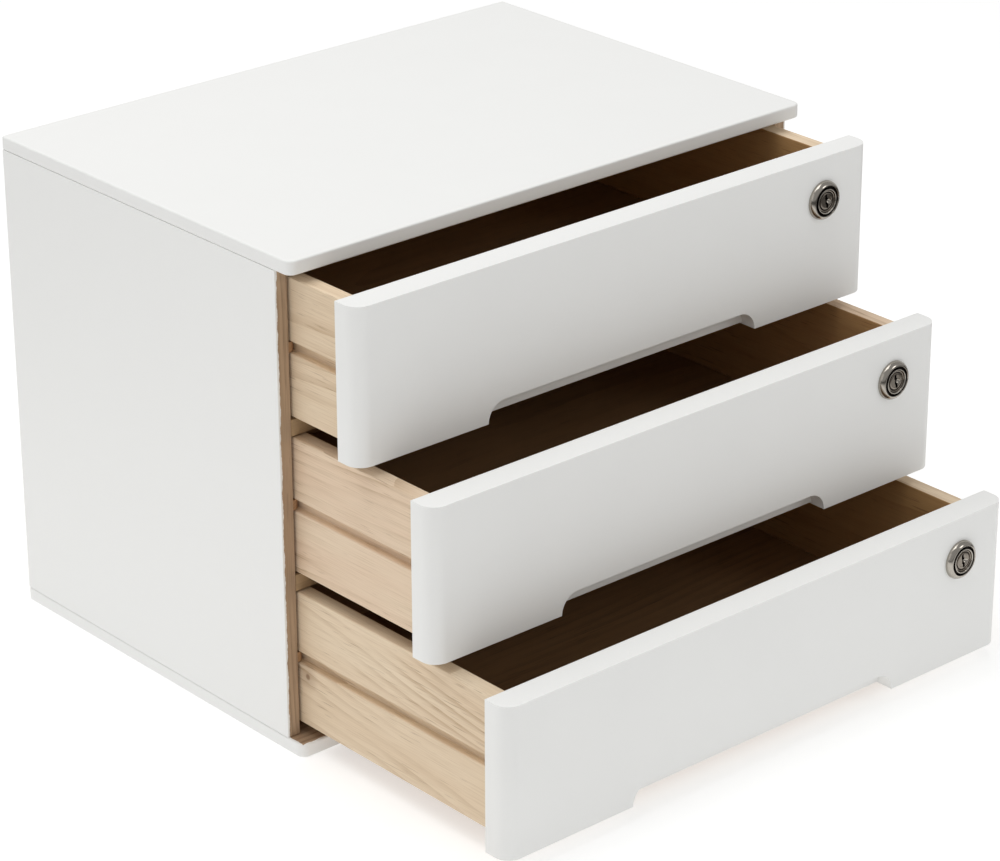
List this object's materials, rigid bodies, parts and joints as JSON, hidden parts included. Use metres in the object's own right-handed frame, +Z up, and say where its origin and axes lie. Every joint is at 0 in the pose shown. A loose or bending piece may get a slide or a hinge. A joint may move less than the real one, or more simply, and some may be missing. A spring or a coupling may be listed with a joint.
{
  "type": "desktop file drawer",
  "caption": "White-painted board case with three open wooden drawers on side runners; each front has a finger recess below and a cam lock at the right.",
  "frame": {"origin": "centre of the bottom board's underside, on the table", "axes": "+Z up, -Y towards the person who faces the drawers, +X to that person's right"},
  "size_m": [0.361, 0.4158, 0.28],
  "materials": {
    "white_paint": "board with satin white furniture paint",
    "paulownia": "bare planed paulownia",
    "plywood": "thin plywood",
    "beech": "bare beech",
    "nickel": "bright nickel plate",
    "zinc_steel": "zinc-plated steel"
  },
  "bodies": {
    "case": {"top_panel": "white_paint", "bottom_panel": "white_paint", "left_side_panel": "white_paint", "right_side_panel": "white_paint", "back_panel": "plywood", "upper_rail": "paulownia", "lower_rail": "paulownia", "top_left_runner": "beech", "top_right_runner": "beech", "middle_left_runner": "beech", "middle_right_runner": "beech", "bottom_left_runner": "beech", "bottom_right_runner": "beech", "panel_dowels": "beech", "rail_dowels": "beech", "base_screws": "zinc_steel", "back_panel_brads": "zinc_steel", "runner_brads": "zinc_steel"},
    "top_drawer": {"top_drawer_front": "white_paint", "top_drawer_box_front": "paulownia", "top_drawer_left_side": "paulownia", "top_drawer_right_side": "paulownia", "top_drawer_back": "paulownia", "top_drawer_floor": "plywood", "top_drawer_dowels": "beech", "top_drawer_front_screws": "zinc_steel", "top_lock_housing": "nickel", "top_lock_nut": "zinc_steel"},
    "top_lock": {"top_lock_plug": "nickel", "top_lock_cam": "zinc_steel", "top_lock_cam_screw": "zinc_steel"},
    "middle_drawer": {"middle_drawer_front": "white_paint", "middle_drawer_box_front": "paulownia", "middle_drawer_left_side": "paulownia", "middle_drawer_right_side": "paulownia", "middle_drawer_back": "paulownia", "middle_drawer_floor": "plywood", "middle_drawer_dowels": "beech", "middle_drawer_front_screws": "zinc_steel", "middle_lock_housing": "nickel", "middle_lock_nut": "zinc_steel"},
    "middle_lock": {"middle_lock_plug": "nickel", "middle_lock_cam": "zinc_steel", "middle_lock_cam_screw": "zinc_steel"},
    "bottom_drawer": {"bottom_drawer_front": "white_paint", "bottom_drawer_box_front": "paulownia", "bottom_drawer_left_side": "paulownia", "bottom_drawer_right_side": "paulownia", "bottom_drawer_back": "paulownia", "bottom_drawer_floor": "plywood", "bottom_drawer_dowels": "beech", "bottom_drawer_front_screws": "zinc_steel", "bottom_lock_housing": "nickel", "bottom_lock_nut": "zinc_steel"},
    "bottom_lock": {"bottom_lock_plug": "nickel", "bottom_lock_cam": "zinc_steel", "bottom_lock_cam_screw": "zinc_steel"}
  },
  "joints": [
    {"name": "top_drawer_slide", "type": "slide", "parent": "case", "child": "top_drawer", "axis": [0, -1, 0], "range_m": [-0.0478, 0.1272]},
    {"name": "top_lock_turn", "type": "hinge", "parent": "top_drawer", "child": "top_lock", "pos_m": [0.145, -0.1771, 0.2463], "axis": [0, 1, 0], "range_deg": [0, 90]},
    {"name": "middle_drawer_slide", "type": "slide", "parent": "case", "child": "middle_drawer", "axis": [0, -1, 0], "range_m": [-0.1037, 0.0713]},
    {"name": "middle_lock_turn", "type": "hinge", "parent": "middle_drawer", "child": "middle_lock", "pos_m": [0.145, -0.233, 0.1585], "axis": [0, 1, 0], "range_deg": [0, 90]},
    {"name": "bottom_drawer_slide", "type": "slide", "parent": "case", "child": "bottom_drawer", "axis": [0, -1, 0], "range_m": [-0.158, 0.017]},
    {"name": "bottom_lock_turn", "type": "hinge", "parent": "bottom_drawer", "child": "bottom_lock", "pos_m": [0.145, -0.2873, 0.0707], "axis": [0, 1, 0], "range_deg": [0, 90]}
  ]
}
